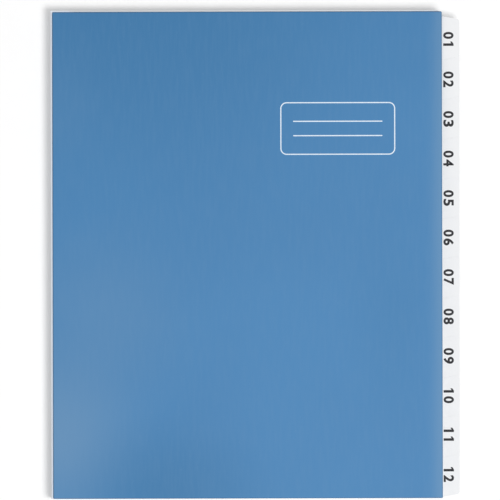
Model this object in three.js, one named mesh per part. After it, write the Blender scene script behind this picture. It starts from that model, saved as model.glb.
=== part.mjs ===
// Desk sorter with an expanding spine: two cover boards, twelve tabbed divider leaves
// and the pleated strip that joins them. Millimetres, closed, lying on its back cover.
// X runs from the spine to the tabs, Y from the foot to the head, Z from back to front.
import * as THREE from 'three';

// Cover boards
const coverWidth = 244;
const coverHeight = 304.8;
const coverThickness = 1.2;
const coverCornerRadius = 0.8;

// Divider leaves
const leafCount = 12;
const leafThickness = 0.6;
const leafRise = 0.9; // how far the leaves stand past the covers at the head
const leafSetback = 1; // from the covers' fore edge back to the leaves' fore edge
const leafCornerRadius = 0.5;

// Tabs, staggered down the fore edge
const tabReach = 11; // past the covers' fore edge
const tabLength = 32; // along the leaf, root to root
const topTabFoot = 31.4; // from the leaf's head down to the foot of the first tab
const tabShoulder = 1.7; // from the leaf's head down to the first tab's root
const tabSlant = 2; // how far each end slopes in towards the tab's outer edge
const tabCornerRadius = 2;
const tabRootRadius = 0.8;

// Pleated strip
const stripThickness = 0.15;
const pleatDepth = 10; // from the noses in to the creases
const plyGap = 0.12; // between the two plies of one pleat
const glueLine = 0.05; // between a ply and the card or board it holds
const noseReach = 1.1; // how far the noses stand out past the covers at the spine
const flapWidth = 12; // from the noses to the free edge of a hinge flap
const foldSteps = 8; // flats in a half-round fold
const cornerSteps = 6; // flats in a rounded corner

// Middle-line radii of the folds
const creaseRadius = (plyGap + stripThickness) / 2;
const hingeRadius = creaseRadius;
const noseRadius = leafThickness / 2 + glueLine + stripThickness / 2;

// Heights, counted up from the table
const stripInset = coverThickness + glueLine + stripThickness / 2;
const backHingeHeight = stripInset + hingeRadius;
const lastLeafHeight = backHingeHeight + hingeRadius + 2 * creaseRadius + noseRadius;
const leafPitch = 2 * (noseRadius + creaseRadius);
const firstLeafHeight = lastLeafHeight + (leafCount - 1) * leafPitch;
const frontHingeHeight = firstLeafHeight + noseRadius + 2 * creaseRadius + hingeRadius;
const totalHeight = frontHingeHeight + hingeRadius + stripInset;

// Places across the page, counted from the noses
const coverSpineEdge = noseReach;
const coverForeEdge = coverSpineEdge + coverWidth;
const leafSpineEdge = stripThickness / 2 + noseRadius;
const leafForeEdge = coverForeEdge - leafSetback;
const tabOuterEdge = coverForeEdge + tabReach;

// Places up the page, counted from the covers' foot
const leafHead = coverHeight + leafRise;
const tabPitch = (leafHead - topTabFoot) / (leafCount - 1);

const coverMaterial = new THREE.MeshStandardMaterial({ color: 0x5589b7, roughness: 0.42, metalness: 0 });
const leafMaterial = new THREE.MeshStandardMaterial({ color: 0xedeff2, roughness: 0.72, metalness: 0 });
const stripMaterial = new THREE.MeshStandardMaterial({ color: 0xe4e8ee, roughness: 0.85, metalness: 0 });

function corner(x, y, radius) {
  return { at: new THREE.Vector2(x, y), radius };
}

// Closed outline through the given corners, each rounded to its own radius; a corner of
// radius 0 stays sharp
function roundedOutline(corners) {
  const shape = new THREE.Shape();
  corners.forEach((here, index) => {
    const before = corners.at(index - 1);
    const after = corners[(index + 1) % corners.length];
    const back = before.at.clone().sub(here.at).normalize();
    const ahead = after.at.clone().sub(here.at).normalize();
    const halfAngle = back.angleTo(ahead) / 2;
    const trim = here.radius / Math.tan(halfAngle);
    const start = here.at.clone().addScaledVector(back, trim);
    const end = here.at.clone().addScaledVector(ahead, trim);
    const toCentre = back.clone().add(ahead).normalize();
    const centre = here.at.clone().addScaledVector(toCentre, here.radius / Math.sin(halfAngle));
    if (index === 0) shape.moveTo(start.x, start.y);
    else shape.lineTo(start.x, start.y);
    if (here.radius === 0) return;
    shape.absarc(
      centre.x,
      centre.y,
      here.radius,
      start.clone().sub(centre).angle(),
      end.clone().sub(centre).angle(),
      back.cross(ahead) > 0,
    );
  });
  shape.closePath();
  return shape;
}

// Flat sheet lying at the given height, cut to an outline in X and Y
function sheet(name, outline, thickness, height, material) {
  const geometry = new THREE.ExtrudeGeometry(outline, {
    depth: thickness,
    bevelEnabled: false,
    curveSegments: cornerSteps,
  });
  const mesh = new THREE.Mesh(geometry, material);
  mesh.name = name;
  mesh.position.z = height;
  return mesh;
}

function coverOutline() {
  return roundedOutline([
    corner(coverSpineEdge, 0, coverCornerRadius),
    corner(coverForeEdge, 0, coverCornerRadius),
    corner(coverForeEdge, coverHeight, coverCornerRadius),
    corner(coverSpineEdge, coverHeight, coverCornerRadius),
  ]);
}

// A leaf and its tab are one piece of card; index 0 carries the tab at the head
function leafOutline(index) {
  const tabFoot = leafHead - topTabFoot - index * tabPitch;
  const tabHead = Math.min(tabFoot + tabLength, leafHead - tabShoulder);
  const tab = [
    corner(leafForeEdge, tabFoot, tabRootRadius),
    corner(tabOuterEdge, tabFoot + tabSlant, tabCornerRadius),
    corner(tabOuterEdge, tabHead - tabSlant, tabCornerRadius),
    corner(leafForeEdge, tabHead, tabRootRadius),
  ];
  // the last tab slopes straight out of the leaf's foot, where the two meet in one corner
  const endsAtFoot = index === leafCount - 1;
  const foot = corner(leafForeEdge, 0, endsAtFoot ? 0 : leafCornerRadius);
  const foreCorners = endsAtFoot ? [foot, ...tab.slice(1)] : [foot, ...tab];
  return roundedOutline([
    corner(leafSpineEdge, 0, leafCornerRadius),
    ...foreCorners,
    corner(leafForeEdge, leafHead, leafCornerRadius),
    corner(leafSpineEdge, leafHead, leafCornerRadius),
  ]);
}

// Section of a strip whose middle line starts at a point and a heading, then follows
// straight runs (a length) and round folds (an angle and a radius)
function stripSection(x, z, heading, moves) {
  const at = new THREE.Vector2(x, z);
  const onLeft = [];
  const onRight = [];
  let angle = heading;
  const toLeft = () => new THREE.Vector2(-Math.sin(angle), Math.cos(angle));
  const mark = () => {
    onLeft.push(at.clone().addScaledVector(toLeft(), stripThickness / 2));
    onRight.push(at.clone().addScaledVector(toLeft(), -stripThickness / 2));
  };
  mark();
  for (const { run, fold, radius } of moves) {
    if (run) {
      at.x += run * Math.cos(angle);
      at.y += run * Math.sin(angle);
      mark();
      continue;
    }
    const side = Math.sign(fold) * radius;
    const centre = at.clone().addScaledVector(toLeft(), side);
    const steps = Math.round((foldSteps * Math.abs(fold)) / Math.PI);
    for (let step = 0; step < steps; step += 1) {
      angle += fold / steps;
      at.copy(centre).addScaledVector(toLeft(), -side);
      mark();
    }
  }
  return new THREE.Shape([...onLeft, ...onRight.reverse()]);
}

// Strip of that section running from the foot to the head of the leaves
function strip(name, section) {
  const geometry = new THREE.ExtrudeGeometry(section, { depth: leafHead, bevelEnabled: false });
  const mesh = new THREE.Mesh(geometry, stripMaterial);
  mesh.name = name;
  mesh.rotation.x = Math.PI / 2;
  mesh.position.y = leafHead;
  return mesh;
}

// The pleats: down from the front hinge, in to a crease and out round the spine edge of
// each leaf in turn, and down to the back hinge
function pleats() {
  const creaseCentre = pleatDepth - stripThickness / 2 - creaseRadius;
  const hingeRun = creaseCentre - stripThickness / 2 - hingeRadius;
  const leafRun = creaseCentre - leafSpineEdge;
  const crease = { fold: -Math.PI, radius: creaseRadius };
  const quarter = { fold: Math.PI / 2, radius: hingeRadius };
  const moves = [quarter, { run: hingeRun }, crease];
  for (let index = 0; index < leafCount; index += 1) {
    moves.push({ run: leafRun }, { fold: Math.PI, radius: noseRadius }, { run: leafRun }, crease);
  }
  moves.push({ run: hingeRun }, quarter);
  return stripSection(stripThickness / 2, frontHingeHeight, -Math.PI / 2, moves);
}

// The end of the strip that is glued under a cover; it meets the pleats at the hinge line
function hingeFlap(height, upOrDown) {
  const run = flapWidth - stripThickness / 2 - hingeRadius;
  const moves = [{ fold: (-upOrDown * Math.PI) / 2, radius: hingeRadius }, { run }];
  return stripSection(stripThickness / 2, height, (upOrDown * Math.PI) / 2, moves);
}

function leafName(index) {
  return `divider_${String(index + 1).padStart(2, '0')}`;
}

const front = new THREE.Group();
front.add(
  sheet('front_cover', coverOutline(), coverThickness, totalHeight - coverThickness, coverMaterial),
  strip('front_hinge_flap', hingeFlap(frontHingeHeight, 1)),
);

const back = new THREE.Group();
back.add(
  sheet('back_cover', coverOutline(), coverThickness, 0, coverMaterial),
  strip('back_hinge_flap', hingeFlap(backHingeHeight, -1)),
);

const leaves = new THREE.Group();
for (let index = 0; index < leafCount; index += 1) {
  const height = firstLeafHeight - index * leafPitch - leafThickness / 2;
  leaves.add(sheet(leafName(index), leafOutline(index), leafThickness, height, leafMaterial));
}

// The origin lies on the table under the middle of the whole sorter
const sorter = new THREE.Group();
sorter.add(front, back, leaves, strip('spine_pleats', pleats()));
sorter.position.set(-tabOuterEdge / 2, -leafHead / 2, 0);

const part = new THREE.Group();
part.add(sorter);

export default part;
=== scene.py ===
import math

import bpy
import numpy as np
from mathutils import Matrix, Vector


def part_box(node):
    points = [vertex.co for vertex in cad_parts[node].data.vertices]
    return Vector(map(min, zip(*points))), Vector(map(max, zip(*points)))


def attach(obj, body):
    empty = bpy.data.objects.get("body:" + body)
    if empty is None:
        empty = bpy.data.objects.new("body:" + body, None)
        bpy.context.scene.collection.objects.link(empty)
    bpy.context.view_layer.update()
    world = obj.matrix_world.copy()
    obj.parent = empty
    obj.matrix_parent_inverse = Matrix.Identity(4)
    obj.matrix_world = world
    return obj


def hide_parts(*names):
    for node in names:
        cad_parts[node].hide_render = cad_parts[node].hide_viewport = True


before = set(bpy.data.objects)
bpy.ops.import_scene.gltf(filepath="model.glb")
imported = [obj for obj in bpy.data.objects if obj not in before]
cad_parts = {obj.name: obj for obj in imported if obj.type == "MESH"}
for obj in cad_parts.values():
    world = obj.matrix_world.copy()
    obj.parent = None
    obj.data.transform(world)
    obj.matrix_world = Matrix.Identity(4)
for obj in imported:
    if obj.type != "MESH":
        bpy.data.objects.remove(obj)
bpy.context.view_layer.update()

mm = 0.001
leafCount = 12


# Shader maths: a wire stands for one socket, and sums on wires add their own nodes
class Wire:
    def __init__(self, tree, socket=None):
        self.tree = tree
        self.socket = socket

    def node(self, kind, settings=None, inputs=None, output=0):
        made = self.tree.nodes.new(kind)
        for name, value in (settings or {}).items():
            setattr(made, name, value)
        for name, value in (inputs or {}).items():
            if isinstance(value, Wire):
                self.tree.links.new(value.socket, made.inputs[name])
            else:
                made.inputs[name].default_value = value
        return Wire(self.tree, made.outputs[output])

    def sum(self, operation, *terms):
        return self.node("ShaderNodeMath", {"operation": operation}, dict(enumerate(terms)))

    def __add__(self, other):
        return self.sum("ADD", self, other)

    __radd__ = __add__

    def __sub__(self, other):
        return self.sum("SUBTRACT", self, other)

    def __rsub__(self, other):
        return self.sum("SUBTRACT", other, self)

    def __mul__(self, other):
        return self.sum("MULTIPLY", self, other)

    __rmul__ = __mul__

    def __truediv__(self, other):
        return self.sum("DIVIDE", self, other)

    def __rtruediv__(self, other):
        return self.sum("DIVIDE", other, self)

    def __pow__(self, other):
        return self.sum("POWER", self, other)

    def __abs__(self):
        return self.sum("ABSOLUTE", self)

    def atMost(self, other):
        return self.sum("MINIMUM", self, other)

    def step(self, low, high, start=0.0, end=1.0):  # smooth change from start to end between low and high
        ranges = {"Value": self, "From Min": low, "From Max": high, "To Min": start, "To Max": end}
        return self.node("ShaderNodeMapRange", {"interpolation_type": "SMOOTHSTEP"}, ranges)

    def mix(self, first, second):  # colour between first and second, with this wire as the factor
        return self.node("ShaderNodeMix", {"data_type": "RGBA"}, {0: self, 6: first, 7: second}, 2)


def colour(red, green, blue):  # screen colour from 0 to 255 as the linear colour of a socket
    screen = np.array([red, green, blue]) / 255
    linear = np.where(screen > 0.04045, ((screen + 0.055) / 1.055) ** 2.4, screen / 12.92)
    return (*[float(part) for part in linear], 1.0)


def newMaterial(name):
    material = bpy.data.materials.new(name)
    material.use_nodes = True
    tree = material.node_tree
    shader = tree.nodes["Principled BSDF"]
    return material, Wire(tree), shader


def feed(shader, wires):
    for name, value in wires.items():
        if isinstance(value, Wire):
            value.tree.links.new(value.socket, shader.inputs[name])
        else:
            shader.inputs[name].default_value = value


def objectPlace(wire, stretch=(1, 1, 1)):
    place = wire.node("ShaderNodeTexCoord", output="Object")
    if stretch == (1, 1, 1):
        return place
    return wire.node("ShaderNodeMapping", inputs={"Vector": place, "Scale": stretch})


def noise(wire, place, scale, detail=3.0, roughness=0.5):
    values = {"Vector": place, "Scale": scale, "Detail": detail, "Roughness": roughness}
    return wire.node("ShaderNodeTexNoise", inputs=values)


def axes(wire, place):
    return [wire.node("ShaderNodeSeparateXYZ", inputs={0: place}, output=axis) for axis in "XYZ"]


def bump(wire, height, strength, distance):
    values = {"Strength": strength, "Distance": distance, "Height": height}
    return wire.node("ShaderNodeBump", inputs=values)


# Laminated blue board: a smooth film over pressed board, with painted shade round its edges and painted
# sheen across it
laminateLook = {
    "blue": colour(66, 126, 176),
    "deepBlue": colour(61, 122, 172),
    # paleBlue is the tone of the painted sheen as well as of the specks and streaks
    "paleBlue": colour(96, 139, 178),
    # darker tone of the painted shade patches, the largest one over the head
    "shadeBlue": colour(49, 112, 160),
    "edgeShadeBlue": colour(62, 98, 130),
    "roughness": 0.53,
    "cloudScale": 9.0,
    "cloudRoughness": 0.12,
    "grainScale": 1100.0,
    "grainRoughness": 0.06,
    "speckScale": 420.0,
    "speckRange": (0.68, 0.8),
    "speckShare": 0.1,
    "streakStretch": (1.0, 0.12, 1.0),  # faint lines up the page, the way the film was drawn on
    "streakScale": 480.0,
    "streakRange": (0.35, 0.75),
    "streakShare": 0.11,
    # painted shade: the film is painted darker along every edge of the board
    "edgeWidth": 0.9 * mm,
    "edgeShadeShare": 0.55,
    "edgeRoughness": 0.15,
    "foreSheenBand": 14.0 * mm,  # painted sheen: the film is painted paler towards the fore edge
    "foreSheenShare": 0.75,
    "wavinessScale": 160.0,
    "bumpStrength": 0.18,
    "bumpDepth": 0.06 * mm,
    "specular": 0.36,
    # painted sheen and painted shade: soft paler and darker patches of the film's reflection; middle from
    # the cover's middle and reach in mm, tone and its share
    "sheenPatches": (
        ((-60, 190), (240, 220), "shadeBlue", 0.85),
        ((-122, 95), (44, 60), "paleBlue", 0.14),
        ((-95, -40), (80, 80), "paleBlue", 0.33),
        ((-120, -115), (70, 74), "paleBlue", 0.78),
        ((-50, -150), (75, 60), "shadeBlue", 0.75),
        ((92, -35), (40, 95), "shadeBlue", 0.25),
    ),
}


def laminate(name, low, high):
    look = laminateLook
    material, wire, shader = newMaterial(name)
    place = objectPlace(wire)
    x, y = axes(wire, place)[:2]
    drawn = objectPlace(wire, look["streakStretch"])
    cloud = noise(wire, place, look["cloudScale"], detail=2.0)
    grain = noise(wire, place, look["grainScale"], detail=2.0)
    speck = noise(wire, place, look["speckScale"], detail=1.0).step(*look["speckRange"])
    streak = noise(wire, drawn, look["streakScale"], detail=3.0, roughness=0.6).step(*look["streakRange"])
    nearest = (x - low.x).atMost(high.x - x).atMost((y - low.y).atMost(high.y - y))
    # painted shade along every edge of the board
    edge = nearest.step(0.0, look["edgeWidth"], 1.0, 0.0)
    # painted sheen: paler towards the fore edge
    fore = (high.x - x).step(0.0, look["foreSheenBand"], 1.0, 0.0)
    body = cloud.step(0.3, 0.7).mix(look["deepBlue"], look["blue"])
    body = (fore * fore * look["foreSheenShare"]).mix(body, look["paleBlue"])
    # painted sheen and painted shade: soft paler and darker patches over the film
    for (across, up), (reachX, reachY), tone, share in look["sheenPatches"]:
        awayX = (x - (low.x + high.x) / 2 - across * mm) / (reachX * mm)
        awayY = (y - (low.y + high.y) / 2 - up * mm) / (reachY * mm)
        sheenPatch = ((awayX * awayX + awayY * awayY) ** 0.5).step(0.0, 1.0, share, 0.0)
        body = sheenPatch.mix(body, look[tone])
    body = (streak * look["streakShare"]).mix(body, look["paleBlue"])
    body = (speck * look["speckShare"]).mix(body, look["paleBlue"])
    body = (edge * look["edgeShadeShare"]).mix(body, look["edgeShadeBlue"])
    roughness = cloud * look["cloudRoughness"] + grain * look["grainRoughness"] + look["roughness"]
    roughness = roughness + edge * look["edgeRoughness"]
    height = grain * 0.5 + noise(wire, place, look["wavinessScale"], detail=2.0)
    normal = bump(wire, height, look["bumpStrength"], look["bumpDepth"])
    feed(shader, {"Base Color": body, "Roughness": roughness, "Normal": normal})
    feed(shader, {"Specular IOR Level": look["specular"]})
    return material


# White card: pressed fibres with faint mottling, and a greyer cut edge
cardLook = {
    "white": colour(234, 235, 236),
    "mottle": colour(225, 226, 229),
    "cut": colour(206, 208, 211),
    "cutShare": 0.8,
    "cutRoughness": 0.2,
    "cutRange": (0.4, 0.8),  # how upright a face's normal is, from a cut edge to the flat of the card
    "roughness": 0.56,
    "fibreStretch": (1.0, 0.22, 1.0),
    "fibreScale": 1500.0,
    "fibreShare": 0.35,
    "fibreRoughness": 0.12,
    "mottleScale": 90.0,
    "mottleShare": 0.5,
    "bumpStrength": 0.2,
    "bumpDepth": 0.04 * mm,
}


def card(name):
    look = cardLook
    material, wire, shader = newMaterial(name)
    place = objectPlace(wire)
    pressed = objectPlace(wire, look["fibreStretch"])
    fibres = noise(wire, pressed, look["fibreScale"], detail=3.0, roughness=0.6)
    mottle = noise(wire, place, look["mottleScale"], detail=4.0, roughness=0.6)
    facing = wire.node("ShaderNodeTexCoord", output="Normal")
    edge = abs(axes(wire, facing)[2]).step(*look["cutRange"], 1.0, 0.0)
    body = (mottle * look["mottleShare"] + fibres * look["fibreShare"]).mix(look["white"], look["mottle"])
    body = (edge * look["cutShare"]).mix(body, look["cut"])
    roughness = fibres * look["fibreRoughness"] + look["roughness"] + edge * look["cutRoughness"]
    normal = bump(wire, fibres + mottle, look["bumpStrength"], look["bumpDepth"])
    feed(shader, {"Base Color": body, "Roughness": roughness, "Normal": normal})
    return material


# Tough strip paper: longer fibres than the card, and a rubbed line along each fold
stripLook = {
    "white": colour(232, 236, 242),
    "fibre": colour(214, 220, 229),
    "rubbed": colour(196, 204, 216),
    "rubbedReach": 0.45 * mm,  # in from the outermost line of the folds
    "rubbedShare": 0.7,
    "roughness": 0.78,
    "fibreStretch": (1.0, 0.12, 1.0),
    "fibreScale": 900.0,
    "fibreShare": 0.9,
    "fibreRoughness": 0.1,
    "flockScale": 240.0,
    "bumpStrength": 0.3,
    "bumpDepth": 0.05 * mm,
}


def stripPaper(name, spineEdge):
    look = stripLook
    material, wire, shader = newMaterial(name)
    place = objectPlace(wire)
    drawn = objectPlace(wire, look["fibreStretch"])
    fibres = noise(wire, drawn, look["fibreScale"], detail=4.0, roughness=0.65)
    flock = noise(wire, place, look["flockScale"], detail=3.0)
    nose = (axes(wire, place)[0] - spineEdge).step(0.0, look["rubbedReach"], 1.0, 0.0)
    body = (fibres * look["fibreShare"]).mix(look["white"], look["fibre"])
    body = (nose * flock * look["rubbedShare"]).mix(body, look["rubbed"])
    roughness = fibres * look["fibreRoughness"] + look["roughness"]
    normal = bump(wire, fibres, look["bumpStrength"], look["bumpDepth"])
    feed(shader, {"Base Color": body, "Roughness": roughness, "Normal": normal})
    return material


# Printed ink: matte, a little uneven where the film or the card took less of it
inkLook = {
    "dark": (colour(36, 36, 40), colour(50, 50, 54)),  # full and thin ink on the tabs
    "darkRoughness": 0.6,
    "pale": (colour(222, 233, 243), colour(205, 219, 233)),  # full and thin ink on the cover
    "paleRoughness": 0.45,
    "missScale": 1300.0,
    "missRange": (0.35, 0.7),
    "missRoughness": 0.1,
    "specular": 0.25,
}


def ink(name, full, thin, roughness):
    look = inkLook
    material, wire, shader = newMaterial(name)
    miss = noise(wire, objectPlace(wire), look["missScale"], detail=3.0).step(*look["missRange"])
    feed(shader, {"Base Color": miss.mix(full, thin), "Roughness": miss * look["missRoughness"] + roughness})
    feed(shader, {"Specular IOR Level": look["specular"]})
    return material


# Mesh helpers
def newPiece(name, points, faces, material, body, slot):
    mesh = bpy.data.meshes.new(name)
    mesh.from_pydata(np.asarray(points, float).tolist(), [], [list(map(int, face)) for face in faces])
    mesh.materials.append(material)
    mesh.validate()
    mesh.update()
    piece = bpy.data.objects.new(name, mesh)
    bpy.context.scene.collection.objects.link(piece)
    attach(piece, body)
    return piece


def shadeSmooth(piece, degrees):
    with bpy.context.temp_override(object=piece, selected_editable_objects=[piece], active_object=piece):
        bpy.ops.object.shade_smooth_by_angle(angle=math.radians(degrees))


def gridFaces(rows, columns, closedRows=False, closedColumns=False):
    # quads of a grid whose point (row, column) has the number row * columns + column
    row = np.arange(rows if closedRows else rows - 1)[:, None]
    column = np.arange(columns if closedColumns else columns - 1)[None, :]
    nextRow = (row + 1) % rows
    nextColumn = (column + 1) % columns
    corners = [row * columns + column, row * columns + nextColumn]
    corners += [nextRow * columns + nextColumn, nextRow * columns + column]
    return np.stack([np.broadcast_to(c, (row.size, column.size)) for c in corners], -1).reshape(-1, 4)


def atHeight(outline, height):
    return np.column_stack([outline, np.full(len(outline), height)])


def cappedRings(rings):
    # closed solid between rings of as many points each, from the lowest up, with a flat face at both ends
    count = len(rings[0])
    faces = gridFaces(len(rings), count, closedColumns=True).tolist()
    faces.append(list(range(count))[::-1])
    faces.append([(len(rings) - 1) * count + k for k in range(count)])
    return np.concatenate(rings), faces


def unit(vectors):
    return vectors / np.linalg.norm(vectors, axis=1)[:, None]


def roundedRectangle(centre, width, height, radius, steps):
    # four quarter arcs, anticlockwise from the right-hand side of the foot
    turn = np.linspace(0, math.pi / 2, steps)
    starts = -math.pi / 2 + np.arange(4) * math.pi / 2
    angles = (starts[:, None] + turn[None, :]).ravel()
    sideX = np.repeat([1, 1, -1, -1], steps) * (width / 2 - radius)
    sideY = np.repeat([-1, 1, 1, -1], steps) * (height / 2 - radius)
    x = centre[0] + sideX + radius * np.cos(angles)
    y = centre[1] + sideY + radius * np.sin(angles)
    return np.column_stack([x, y])


# Cover boards: a flat board whose film wraps round softened edges
boardSizes = {
    "edgeRadius": 0.4 * mm,
    "edgeSteps": 6,
    "cornerRadius": 0.7 * mm,
    "leastRadius": 0.1 * mm,  # left of a corner where the edge has turned inwards
    "cornerSteps": 8,
    "smoothAngle": 35,
}


def coverBoard(name, node, body):
    sizes = boardSizes
    low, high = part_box(node)
    centre = ((low.x + high.x) / 2, (low.y + high.y) / 2)
    # point(u, v) = rounded rectangle(v) drawn in by inset(u), at height(u); the section runs from the top
    # face round a quarter circle to the side, and round another to the underside
    turn = np.linspace(0, math.pi / 2, sizes["edgeSteps"])
    inset = sizes["edgeRadius"] * (1 - np.sin(turn))
    drop = sizes["edgeRadius"] * (1 - np.cos(turn))
    insets = np.concatenate([inset, inset[::-1]])
    heights = np.concatenate([high.z - drop, low.z + drop[::-1]])
    rings = []
    for inward, height in zip(insets, heights):
        size = (high.x - low.x - 2 * inward, high.y - low.y - 2 * inward)
        corner = max(sizes["cornerRadius"] - inward, sizes["leastRadius"])
        rings.append(atHeight(roundedRectangle(centre, *size, corner, sizes["cornerSteps"]), height))
    film = laminate(name + "Film", low, high)
    piece = newPiece(name, *cappedRings(rings[::-1]), film, body, "cover")
    shadeSmooth(piece, sizes["smoothAngle"])
    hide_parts(node)


# Pleated strip: a folded middle line with even thickness, carried from foot to head
stripSizes = {
    "thickness": 0.15 * mm,
    "pleatDepth": 10.0 * mm,
    "foldRadius": 0.135 * mm,  # middle line, at creases and hinges
    "noseRadius": 0.425 * mm,  # middle line, round a leaf's spine edge
    "flapWidth": 12.0 * mm,
    "foldSteps": 12,
    "rows": 72,
    "noseWave": 0.14 * mm,  # how far a nose wanders outwards along its length
    "noseReach": 1.1 * mm,  # how deep into the pleats that is felt
    "hingeReach": 0.8 * mm,  # how far from a hinge line it is back in full
    "foldPitch": 1.12 * mm,  # from one nose to the next
    "longWaves": (5, 1.7, 1.0),  # waves from foot to head, turn of phase at each nose, share
    "shortWaves": (11, -2.9, 0.6),
    "hingeClearance": 0.005 * mm,  # between a flap and the pleats when the cover is laid right back
    "smoothAngle": 50,
}


def middleLine(start, heading, moves):
    # moves are (run, 0, 0) or (0, fold angle, radius): straight runs and round folds joined end to end
    at = np.array(start, float)
    angle = heading
    places = [at[None, :]]
    angles = [np.array([angle])]
    for run, fold, radius in moves:
        if run:
            at = at + run * np.array([math.cos(angle), math.sin(angle)])
            places.append(at[None, :])
            angles.append(np.array([angle]))
            continue
        steps = max(2, round(stripSizes["foldSteps"] * abs(fold) / math.pi))
        side = math.copysign(radius, fold)
        centre = at + side * np.array([-math.sin(angle), math.cos(angle)])
        turned = angle + fold * np.arange(1, steps + 1) / steps
        arc = centre + side * np.column_stack([np.sin(turned), -np.cos(turned)])
        places.append(arc)
        angles.append(turned)
        at = arc[-1]
        angle = turned[-1]
    return np.concatenate(places), np.concatenate(angles)


def foldedStrip(name, node, body, start, heading, moves, wander):
    # point(u, v) = middle line(u) +- half the thickness along its normal, at a place v up the page;
    # noses move outwards by two slow waves in v, with their own phase at each nose, and none at the
    # hinge lines
    sizes = stripSizes
    low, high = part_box(node)
    line, angles = middleLine(start, heading, moves)
    normal = np.column_stack([-np.sin(angles), np.cos(angles)]) * sizes["thickness"] / 2
    loop = np.concatenate([line + normal, (line - normal)[::-1]])
    up = np.linspace(low.y, high.y, sizes["rows"])
    share = (up - low.y) / (high.y - low.y)
    nearNose = np.clip(1 - (loop[:, 0] - low.x) / sizes["noseReach"], 0, 1) ** 2
    fromHinge = np.clip(np.minimum(loop[:, 1] - low.z, high.z - loop[:, 1]) / sizes["hingeReach"], 0, 1)
    fold = loop[:, 1][None, :] / sizes["foldPitch"]
    waves = (sizes["longWaves"], sizes["shortWaves"])
    turns = 2 * math.pi * share[:, None]
    wave = sum(part * np.sin(number * turns + phase * fold) for number, phase, part in waves)
    most = sum(part for number, phase, part in waves)
    outward = wander * (nearNose * fromHinge)[None, :] * (1 + wave / most) / 2
    x = loop[:, 0][None, :] - outward
    y = np.broadcast_to(up[:, None], x.shape)
    z = np.broadcast_to(loop[:, 1][None, :], x.shape)
    points = np.stack([x, y, z], -1).reshape(-1, 3)
    count = len(loop)
    faces = gridFaces(sizes["rows"], count, closedColumns=True)
    near = np.arange(len(line) - 1)
    far = count - 1 - near
    foot = np.column_stack([near, near + 1, far - 1, far])
    head = foot[:, ::-1] + (sizes["rows"] - 1) * count
    everyFace = np.concatenate([faces, foot, head])
    piece = newPiece(name, points, everyFace, stripPaper(name + "Paper", low.x), body, "strip")
    shadeSmooth(piece, sizes["smoothAngle"])
    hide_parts(node)


def spinePieces():
    sizes = stripSizes
    half = sizes["thickness"] / 2
    fold = sizes["foldRadius"]
    low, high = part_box("spine_pleats")
    flapRun = sizes["flapWidth"] - half - fold
    creaseCentre = sizes["pleatDepth"] - half - fold
    hingeRun = creaseCentre - half - fold
    leafRun = creaseCentre - half - sizes["noseRadius"]
    crease = (0, -math.pi, fold)
    nose = (0, math.pi, sizes["noseRadius"])
    quarter = (0, math.pi / 2, fold)
    moves = [quarter, (hingeRun, 0, 0), crease]
    moves += [(leafRun, 0, 0), nose, (leafRun, 0, 0), crease] * leafCount
    moves += [(hingeRun, 0, 0), quarter]
    line = low.x + half
    down = -math.pi / 2
    foldedStrip("spinePleats", "spine_pleats", "leaf_block", (line, high.z), down, moves, sizes["noseWave"])
    for name, node, body, height, side in (
        ("frontHingeFlap", "front_hinge_flap", "front_cover", high.z, 1),
        ("backHingeFlap", "back_hinge_flap", "back_cover", low.z, -1),
    ):
        flap = [(0, -side * math.pi / 2, fold), (flapRun, 0, 0)]
        start = (line + sizes["hingeClearance"], height)
        foldedStrip(name, node, body, start, side * math.pi / 2, flap, 0.0)


# Divider leaves: one sheet of card each with its tab, die-cut with slightly broken edges
leafSizes = {
    "setback": 1.0 * mm,  # from the covers' fore edge back to the leaves' fore edge
    "cornerRadius": 0.5 * mm,
    "foreHeadRadius": 2.6 * mm,
    "topTabFoot": 31.4 * mm,  # from a leaf's head down to the foot of the first tab
    "tabLength": 32.0 * mm,
    "tabShoulder": 3.7 * mm,  # from the first leaf's head down to its tab
    "tabSlant": 2.1 * mm,
    "tabRadius": 2.0 * mm,
    "rootRadius": 0.8 * mm,
    "cornerSteps": 9,
    "brokenEdge": 0.07 * mm,
}


def roundedCorners(corners, steps):
    # each corner (x, y, radius) becomes an arc that touches both its sides, with its normals pointing out
    corners = np.array(corners, float)
    at = corners[:, :2]
    radius = corners[:, 2:]
    back = unit(np.roll(at, 1, axis=0) - at)
    ahead = unit(np.roll(at, -1, axis=0) - at)
    half = np.arccos((back * ahead).sum(1))[:, None] / 2
    centre = at + unit(back + ahead) * radius / np.sin(half)
    first = at + back * radius / np.tan(half) - centre
    last = at + ahead * radius / np.tan(half) - centre
    angle = np.arctan2(first[:, 1], first[:, 0])
    sweep = np.arctan2(last[:, 1], last[:, 0]) - angle
    sweep = (sweep + math.pi) % (2 * math.pi) - math.pi
    turned = angle[:, None] + sweep[:, None] * np.linspace(0, 1, steps)[None, :]
    spoke = np.stack([np.cos(turned), np.sin(turned)], -1)
    outline = centre[:, None, :] + radius[:, None, :] * spoke
    normals = np.sign(sweep)[:, None, None] * spoke
    return outline.reshape(-1, 2), normals.reshape(-1, 2)


def leafNode(index):
    return f"divider_{index + 1:02d}"


def tabFoot(index):
    low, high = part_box(leafNode(index))
    pitch = (high.y - low.y - leafSizes["topTabFoot"]) / (leafCount - 1)
    return high.y - leafSizes["topTabFoot"] - index * pitch


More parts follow.
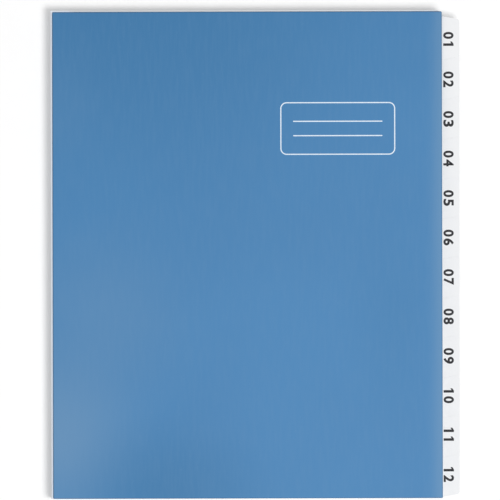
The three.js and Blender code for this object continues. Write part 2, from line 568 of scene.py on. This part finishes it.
def dividerLeaf(index, material, foreEdge):
    # point(u, v) = rounded outline(v) drawn in along its normal by inset(u), at height(u)
    sizes = leafSizes
    low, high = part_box(leafNode(index))
    fore = foreEdge - sizes["setback"]
    foot = tabFoot(index)
    head = min(foot + sizes["tabLength"], high.y - sizes["tabShoulder"])
    slant = sizes["tabSlant"]
    small = sizes["cornerRadius"]
    tab = [(fore, foot, sizes["rootRadius"]), (high.x, foot + slant, sizes["tabRadius"])]
    tab += [(high.x, head - slant, sizes["tabRadius"]), (fore, head, sizes["rootRadius"])]
    if index == leafCount - 1:
        tab = tab[1:]  # the last tab slopes straight out of the leaf's foot
    corners = [(low.x, low.y, small), (fore, low.y, small), *tab]
    corners += [(fore, high.y, sizes["foreHeadRadius"]), (low.x, high.y, small)]
    outline, normals = roundedCorners(corners, sizes["cornerSteps"])
    broken = sizes["brokenEdge"]
    levels = ((low.z, broken), (low.z + broken, 0), (high.z - broken, 0), (high.z, broken))
    rings = [atHeight(outline - inset * normals, height) for height, inset in levels]
    piece = newPiece(f"leaf{index + 1:02d}", *cappedRings(rings), material, "leaf_block", "card")
    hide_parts(leafNode(index))


# Printed numbers on the tabs: bold, narrow, turned to read down the page
numberSizes = {
    "height": 6.5 * mm,
    "width": 4.4 * mm,  # one digit
    "gap": 1.1 * mm,
    "boldness": 0.036,  # how far each side of a digit's outline is moved out
    "fromCover": 0.9 * mm,  # from the covers' fore edge out to the foot of the digits
    "aboveFoot": 12.7 * mm,  # from the first tab's foot up to the middle of its number
    "creep": 0.16 * mm,  # each number stands this much higher on its tab than the one before
    "inkHeight": 0.02 * mm,
    "inkDepth": 0.016 * mm,  # so that the ink ends just above the card
    "roundSteps": 6,
    # outline of a one with its flag, from 0 to 1 both ways
    "one": ((0.38, 0), (0.74, 0), (0.74, 1), (0.46, 1), (0.12, 0.84), (0.12, 0.66), (0.38, 0.77)),
}


def glyph(text):
    # outline of a digit as a mesh, scaled to run from 0 to 1 both ways
    curve = bpy.data.curves.new("glyph", "FONT")
    curve.body = text
    curve.resolution_u = numberSizes["roundSteps"]
    holder = bpy.data.objects.new("glyph", curve)
    bpy.context.scene.collection.objects.link(holder)
    bpy.context.view_layer.update()
    mesh = bpy.data.meshes.new_from_object(holder)
    points = np.array([tuple(vertex.co) for vertex in mesh.vertices])[:, :2]
    faces = [list(polygon.vertices) for polygon in mesh.polygons]
    bpy.data.objects.remove(holder)
    bpy.data.curves.remove(curve)
    bpy.data.meshes.remove(mesh)
    # each outline point moves out along the mitre of its two sides, which are the face sides met only once
    sides = np.array([side for face in faces for side in zip(face, face[1:] + face[:1])])
    count = len(points)
    rim = sides[~np.isin(sides @ [count, 1], sides[:, ::-1] @ [count, 1])]
    along = unit(points[rim[:, 1]] - points[rim[:, 0]])
    outward = np.column_stack([along[:, 1], -along[:, 0]])
    mitre = np.zeros_like(points)
    np.add.at(mitre, rim.ravel(), np.repeat(outward, 2, axis=0))
    mitre = 2 * mitre / np.maximum((mitre ** 2).sum(1), 1.0)[:, None]
    points = points + numberSizes["boldness"] * mitre
    return (points - points.min(0)) / (points.max(0) - points.min(0)), faces


def tabNumbers(material, foreEdge):
    # a digit's outline has its own X down the page and its own Y out from the cover
    sizes = numberSizes
    digits = {digit: glyph(digit) for digit in "023456789"}
    digits["1"] = (np.array(sizes["one"]), [list(range(len(sizes["one"])))])
    for index in range(leafCount):
        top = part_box(leafNode(index))[1].z
        text = f"{index + 1:02d}"
        middle = tabFoot(index) + sizes["aboveFoot"] + index * sizes["creep"]
        length = len(text) * sizes["width"] + (len(text) - 1) * sizes["gap"]
        points = []
        faces = []
        for place, digit in enumerate(text):
            shape, outline = digits[digit]
            across = shape[:, 0] * sizes["width"] + place * (sizes["width"] + sizes["gap"])
            outward = foreEdge + sizes["fromCover"] + shape[:, 1] * sizes["height"]
            first = sum(len(part) for part in points)
            flat = np.column_stack([outward, middle + length / 2 - across])
            points.append(atHeight(flat, top + sizes["inkHeight"]))
            faces += [[first + corner for corner in face] for face in outline]
        piece = newPiece(f"tabNumber{text}", np.concatenate(points), faces, material, "leaf_block", "card")
        solid = piece.modifiers.new("inkDepth", "SOLIDIFY")
        solid.thickness = sizes["inkDepth"]
        solid.offset = -1


# Printed label frame on the front cover: a thin rounded border with blank writing lines
labelSizes = {
    "fromCoverMiddle": (56.7 * mm, 79.2 * mm),
    "width": 72.0 * mm,
    "height": 33.0 * mm,
    "radius": 4.0 * mm,
    "stroke": 0.7 * mm,
    "lineWidth": 56.0 * mm,
    "lineSpacing": 9.0 * mm,
    "lineCount": 2,
    "inkHeight": 0.02 * mm,
    "filmGap": 0.002 * mm,  # from the film up to the ink
    "cornerSteps": 12,
    "endSteps": 6,
    "endRadius": 0.49,  # of the stroke, so that a line's ends are round
}


def labelFrame(material):
    # the border is the strip between an outer and an inner rounded outline, and a writing line is a
    # rounded outline; each is as thick as the ink
    sizes = labelSizes
    low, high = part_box("front_cover")
    top = high.z
    across, up = sizes["fromCoverMiddle"]
    middle = ((low.x + high.x) / 2 + across, (low.y + high.y) / 2 + up)
    stroke = sizes["stroke"]
    steps = sizes["cornerSteps"]
    outer = roundedRectangle(middle, sizes["width"], sizes["height"], sizes["radius"], steps)
    innerSize = (sizes["width"] - 2 * stroke, sizes["height"] - 2 * stroke)
    inner = roundedRectangle(middle, *innerSize, sizes["radius"] - stroke, steps)
    under = top + sizes["filmGap"]
    over = top + sizes["inkHeight"]
    rings = [atHeight(outer, under), atHeight(outer, over), atHeight(inner, over), atHeight(inner, under)]
    faces = gridFaces(len(rings), len(outer), closedRows=True, closedColumns=True)
    newPiece("labelBorder", np.concatenate(rings), faces, material, "front_cover", "cover")
    for line in range(sizes["lineCount"]):
        lineUp = middle[1] + (line - (sizes["lineCount"] - 1) / 2) * sizes["lineSpacing"]
        radius = stroke * sizes["endRadius"]
        bar = roundedRectangle((middle[0], lineUp), sizes["lineWidth"], stroke, radius, sizes["endSteps"])
        rings = [atHeight(bar, under), atHeight(bar, over)]
        newPiece(f"labelLine{line + 1}", *cappedRings(rings), material, "front_cover", "cover")


# Stage, light and camera
stageSizes = {
    "floor": 6.0,
    "floorDrop": 0.1 * mm,  # under the sorter, so that the two surfaces don't coincide
    "floorTones": (colour(250, 250, 250), colour(253, 253, 253)),
    "floorScale": 40.0,
    "floorRoughness": 0.9,
    "keyPlace": (0.55, -0.34, 2.3),
    "keySize": 0.76,
    "keyPower": 35.2,
    "fill": 0.49,
    "floorGlow": 0.25,  # under the sorter; the floor turns plain white away from it
    "glowReach": (0.25, 0.7),
    "cameraHeight": 4.0,
    "sensorWidth": 36.0,
    "viewDepth": 20.0,
    "fromCoverMiddle": (1.55 * mm, 3.2 * mm),
    "viewWidth": 313.1 * mm,  # across the picture at the front cover
    "roll": -0.14,  # degrees
}


def floor():
    half = stageSizes["floor"] / 2
    drop = stageSizes["floorDrop"]
    material, wire, shader = newMaterial("paleFloor")
    place = objectPlace(wire)
    shade = noise(wire, place, stageSizes["floorScale"], detail=2.0).mix(*stageSizes["floorTones"])
    feed(shader, {"Base Color": shade, "Roughness": stageSizes["floorRoughness"], "Specular IOR Level": 0.0})
    light = wire.node("ShaderNodeEmission", inputs={"Color": (1, 1, 1, 1), "Strength": 1.0})
    rays = wire.node("ShaderNodeLightPath", output="Is Camera Ray")
    away = wire.node("ShaderNodeVectorMath", {"operation": "LENGTH"}, {0: place}, "Value")
    glow = away.step(*stageSizes["glowReach"], stageSizes["floorGlow"], 1.0)
    output = wire.tree.nodes["Material Output"]
    surface = wire.node("ShaderNodeMixShader", inputs={0: rays * glow, 2: light})
    mixer = surface.socket.node
    wire.tree.links.new(shader.outputs[0], mixer.inputs[1])
    wire.tree.links.new(surface.socket, output.inputs["Surface"])
    corners = [(-half, -half, -drop), (half, -half, -drop), (half, half, -drop), (-half, half, -drop)]
    mesh = bpy.data.meshes.new("floor")
    mesh.from_pydata(corners, [], [(0, 1, 2, 3)])
    mesh.materials.append(material)
    piece = bpy.data.objects.new("floor", mesh)
    bpy.context.scene.collection.objects.link(piece)


def lights():
    world = bpy.data.worlds.new("studio")
    bpy.context.scene.world = world
    world.use_nodes = True
    wire = Wire(world.node_tree)
    rays = wire.node("ShaderNodeLightPath", output="Is Camera Ray")
    background = world.node_tree.nodes["Background"]
    background.inputs["Color"].default_value = (1, 1, 1, 1)
    strength = rays * (1.0 - stageSizes["fill"]) + stageSizes["fill"]
    world.node_tree.links.new(strength.socket, background.inputs["Strength"])
    lamp = bpy.data.lights.new("keyLight", "AREA")
    lamp.shape = "DISK"
    lamp.size = stageSizes["keySize"]
    lamp.energy = stageSizes["keyPower"]
    key = bpy.data.objects.new("keyLight", lamp)
    key.location = stageSizes["keyPlace"]
    key.rotation_euler = (-Vector(stageSizes["keyPlace"])).to_track_quat("-Z", "Y").to_euler()
    bpy.context.scene.collection.objects.link(key)


def camera():
    low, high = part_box("front_cover")
    across, up = stageSizes["fromCoverMiddle"]
    data = bpy.data.cameras.new("overhead")
    data.sensor_width = stageSizes["sensorWidth"]
    data.lens = stageSizes["sensorWidth"] * stageSizes["cameraHeight"] / stageSizes["viewWidth"]
    data.clip_end = stageSizes["viewDepth"]
    made = bpy.data.objects.new("overhead", data)
    middle = (low + high) / 2
    made.location = (middle.x + across, middle.y + up, high.z + stageSizes["cameraHeight"])
    made.rotation_euler = (0, 0, math.radians(stageSizes["roll"]))
    bpy.context.scene.collection.objects.link(made)
    bpy.context.scene.camera = made


camera()
lights()
floor()
bpy.context.scene.view_settings.view_transform = "Standard"
print("stage, light and camera are set")

coverBoard("frontBoard", "front_cover", "front_cover")
coverBoard("backBoard", "back_cover", "back_cover")
print("cover boards are made")

spinePieces()
print("pleated spine is made")

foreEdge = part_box("front_cover")[1].x
cardPaper = card("leafCard")
for index in range(leafCount):
    dividerLeaf(index, cardPaper, foreEdge)
print("divider leaves are made")

darkInk = ink("darkInk", *inkLook["dark"], inkLook["darkRoughness"])
paleInk = ink("paleInk", *inkLook["pale"], inkLook["paleRoughness"])
tabNumbers(darkInk, foreEdge)
labelFrame(paleInk)
print("printing is done")
